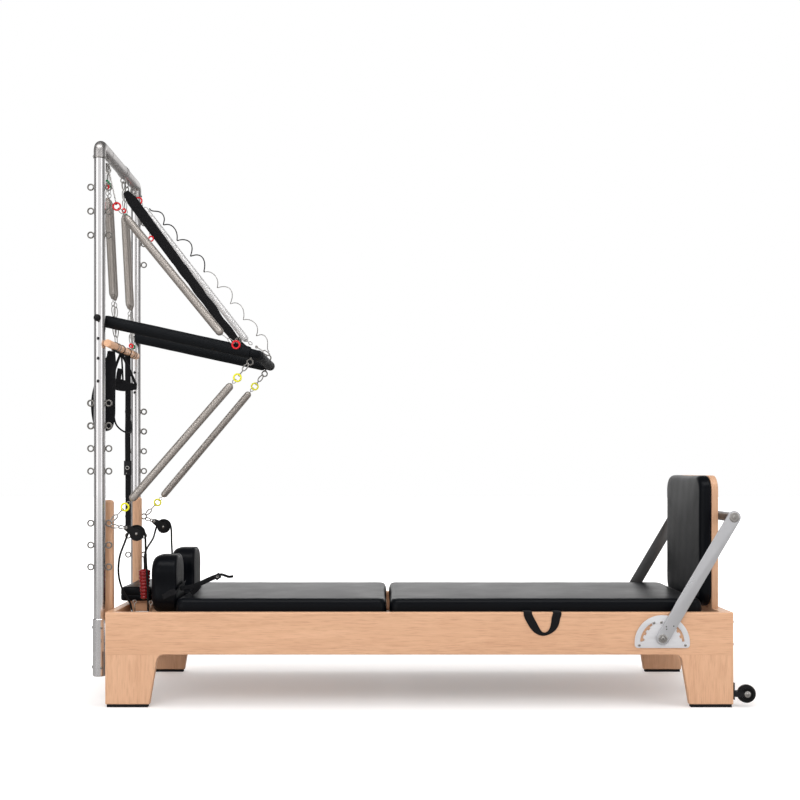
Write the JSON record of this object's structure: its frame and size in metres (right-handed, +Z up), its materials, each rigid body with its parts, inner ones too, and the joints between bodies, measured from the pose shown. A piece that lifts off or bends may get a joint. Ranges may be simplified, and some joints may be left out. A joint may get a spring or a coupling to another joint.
{
  "type": "pilates tower unit",
  "caption": "Maple reformer bed with sliding carriage, conversion mat, jumpboard, footbar and a steel tower with springs, push-through bar and roll-down bar.",
  "frame": {"origin": "on the floor, midway between the object's farthest reaches along its length and across its width", "axes": "+X from the tower end to the foot end, +Y across the bed to the far side, +Z up"},
  "size_m": [2.576, 0.7736, 2.19],
  "materials": {
    "maple": "satin lacquer",
    "black_leather": "fine grain",
    "aluminium": "satin",
    "spring_steel": "satin",
    "black_rubber": "matte",
    "black_foam": "matte",
    "black_webbing": "woven",
    "black_steel": "satin",
    "rope": "braided",
    "red_grip": "matte"
  },
  "bodies": {
    "frame": {"side_frame_near": "maple", "side_frame_far": "maple", "foot_pad_near_head": "black_rubber", "foot_pad_near_foot": "black_rubber", "foot_pad_far_head": "black_rubber", "foot_pad_far_foot": "black_rubber", "head_board": "maple", "foot_board": "maple", "track_frame": "aluminium", "gear_plate_near": "aluminium", "gear_plate_far": "aluminium", "wheel_bracket_near": "black_steel", "wheel_bracket_far": "black_steel", "post_near": "maple", "post_far": "maple", "tower_socket_near": "aluminium", "tower_socket_far": "aluminium", "upright_near": "aluminium", "upright_far": "aluminium", "top_bow": "aluminium", "pulley_block_near": "black_steel", "pulley_block_far": "black_steel", "upper_spring_near": "spring_steel", "upper_spring_far": "spring_steel", "lower_spring_near": "spring_steel", "lower_spring_far": "spring_steel", "safety_strap": "black_webbing", "rope_near": "rope", "rope_far": "rope", "hand_grip": "red_grip"},
    "push_bar": {"push_bar_frame": "aluminium", "arm_sleeve_near": "black_foam", "arm_sleeve_far": "black_foam", "push_bar_grip": "black_foam"},
    "pivot_pin_near": {"pivot_knob_near": "black_steel"},
    "pivot_pin_far": {"pivot_knob_far": "black_steel"},
    "roll_down": {"roll_down_bar": "maple", "hanging_spring_near_a": "spring_steel", "hanging_spring_near_b": "spring_steel", "hanging_spring_far_a": "spring_steel", "hanging_spring_far_b": "spring_steel", "hanging_straps": "black_webbing"},
    "sheave_near": {"pulley_wheel_near": "black_rubber"},
    "sheave_far": {"pulley_wheel_far": "black_rubber"},
    "carriage": {"carriage_base": "maple", "carriage_cushion": "black_leather", "shoulder_rest_near": "black_leather", "shoulder_rest_far": "black_leather", "carriage_spring_set": "spring_steel"},
    "axle_head": {"wheel_axle_head": "black_steel"},
    "axle_foot": {"wheel_axle_foot": "black_steel"},
    "headrest": {"headrest": "black_leather"},
    "mat": {"mat_board": "maple", "mat_cushion": "black_leather", "mat_strap": "black_webbing"},
    "jumpboard": {"jumpboard": "maple", "jumpboard_pad": "black_leather"},
    "footbar": {"footbar": "aluminium"},
    "roller_near": {"transport_wheel_near": "black_rubber"},
    "roller_far": {"transport_wheel_far": "black_rubber"}
  },
  "joints": [
    {"name": "push_bar_swing", "type": "hinge", "parent": "frame", "child": "push_bar", "pos_m": [-1.239, 0, 1.493], "axis": [0, -1, 0], "range_deg": [0, 45], "deforming": ["upper_spring_near", "upper_spring_far", "lower_spring_near", "lower_spring_far", "safety_strap"]},
    {"name": "pivot_pin_near_pull", "type": "slide", "parent": "frame", "child": "pivot_pin_near", "axis": [0, -1, 0], "range_m": [0, 0.012], "stiffness_N_per_m": 300},
    {"name": "pivot_pin_far_pull", "type": "slide", "parent": "frame", "child": "pivot_pin_far", "axis": [0, 1, 0], "range_m": [0, 0.012], "stiffness_N_per_m": 300},
    {"name": "roll_down_swing", "type": "hinge", "parent": "frame", "child": "roll_down", "pos_m": [-1.239, 0, 2.12], "axis": [0, -1, 0], "range_deg": [0, 6]},
    {"name": "sheave_near_spin", "type": "hinge", "parent": "frame", "child": "sheave_near", "pos_m": [-1.106, -0.25, 0.656], "axis": [0, 1, 0], "continuous": true},
    {"name": "sheave_far_spin", "type": "hinge", "parent": "frame", "child": "sheave_far", "pos_m": [-1.106, 0.25, 0.656], "axis": [0, 1, 0], "continuous": true},
    {"name": "carriage_slide", "type": "slide", "parent": "frame", "child": "carriage", "axis": [1, 0, 0], "range_m": [0, 0.009], "deforming": ["carriage_spring_set", "rope_near", "rope_far"]},
    {"name": "wheel_axle_head_spin", "type": "hinge", "parent": "carriage", "child": "axle_head", "pos_m": [-1.048, 0, 0.2983], "axis": [0, 1, 0], "range_deg": [-2, 40]},
    {"name": "wheel_axle_foot_spin", "type": "hinge", "parent": "carriage", "child": "axle_foot", "pos_m": [-0.22, 0, 0.2983], "axis": [0, 1, 0], "range_deg": [-2, 40]},
    {"name": "headrest_tilt", "type": "hinge", "parent": "carriage", "child": "headrest", "pos_m": [-1.07, 0, 0.3996], "axis": [0, 1, 0], "range_deg": [0, 20]},
    {"name": "mat_lift", "type": "slide", "parent": "frame", "child": "mat", "axis": [0, 0, 1], "range_m": [0, 0.1]},
    {"name": "jumpboard_lift", "type": "slide", "parent": "frame", "child": "jumpboard", "axis": [0, 0, 1], "range_m": [0, 0.15]},
    {"name": "footbar_swing", "type": "hinge", "parent": "frame", "child": "footbar", "pos_m": [0.926, 0, 0.265], "axis": [0, 1, 0], "range_deg": [0, 57]},
    {"name": "transport_wheel_near_spin", "type": "hinge", "parent": "frame", "child": "roller_near", "pos_m": [1.253, -0.3525, 0.05], "axis": [0, 1, 0], "continuous": true},
    {"name": "transport_wheel_far_spin", "type": "hinge", "parent": "frame", "child": "roller_far", "pos_m": [1.253, 0.3525, 0.05], "axis": [0, 1, 0], "continuous": true}
  ],
  "couplings": [
    {"joint": "wheel_axle_head_spin", "follows": "carriage_slide", "rad_per_m": 54.645},
    {"joint": "wheel_axle_foot_spin", "follows": "carriage_slide", "rad_per_m": 54.645}
  ]
}
